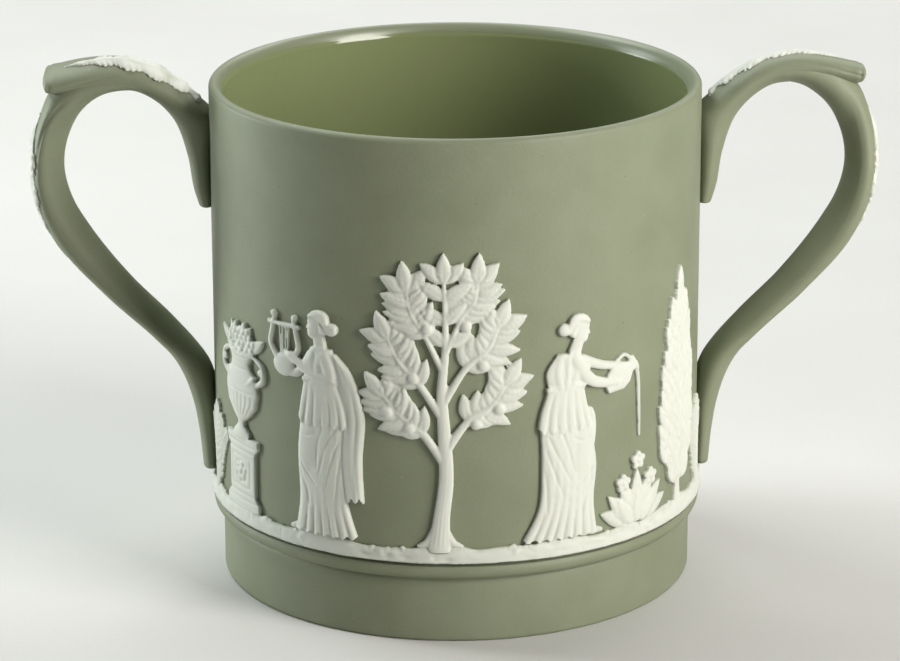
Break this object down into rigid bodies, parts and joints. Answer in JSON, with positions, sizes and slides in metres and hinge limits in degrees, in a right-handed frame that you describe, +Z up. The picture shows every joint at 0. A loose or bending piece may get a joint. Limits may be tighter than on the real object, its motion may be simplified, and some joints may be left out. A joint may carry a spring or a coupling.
{
  "type": "loving cup",
  "caption": "Straight-sided two-handled loving cup in matte green stoneware, with scroll handles, a banded foot, a glazed inside and an applied white relief frieze.",
  "frame": {"origin": "centre of the foot ring's flat underside, where the cup's axis meets the table", "axes": "+Z up along the cup's axis; the two handles lie along +X and -X; the front of the frieze faces -Y"},
  "size_m": [0.2016, 0.1196, 0.126],
  "materials": {
    "green_stoneware": "matte dry-bodied stoneware outside, glossy clear glaze inside",
    "white_relief_clay": "matte white stoneware, press-moulded"
  },
  "bodies": {
    "root": {"cup_body": "green_stoneware", "handle_right": "green_stoneware", "handle_left": "green_stoneware", "arch_leaf_right": "white_relief_clay", "arch_leaf_left": "white_relief_clay", "back_leaf_right": "white_relief_clay", "back_leaf_left": "white_relief_clay", "ground_strip_front": "white_relief_clay", "ground_strip_right": "white_relief_clay", "ground_strip_back": "white_relief_clay", "ground_strip_left": "white_relief_clay", "fern_front_left": "white_relief_clay", "urn_front": "white_relief_clay", "lyre_player_front": "white_relief_clay", "tree_front": "white_relief_clay", "water_girl_front": "white_relief_clay", "shrub_front": "white_relief_clay", "cypress_front": "white_relief_clay", "fern_front_right": "white_relief_clay", "cypress_back": "white_relief_clay", "water_girl_back": "white_relief_clay", "shrub_back": "white_relief_clay", "urn_back": "white_relief_clay", "lyre_player_back": "white_relief_clay", "tree_back": "white_relief_clay", "fern_back": "white_relief_clay"}
  },
  "joints": []
}
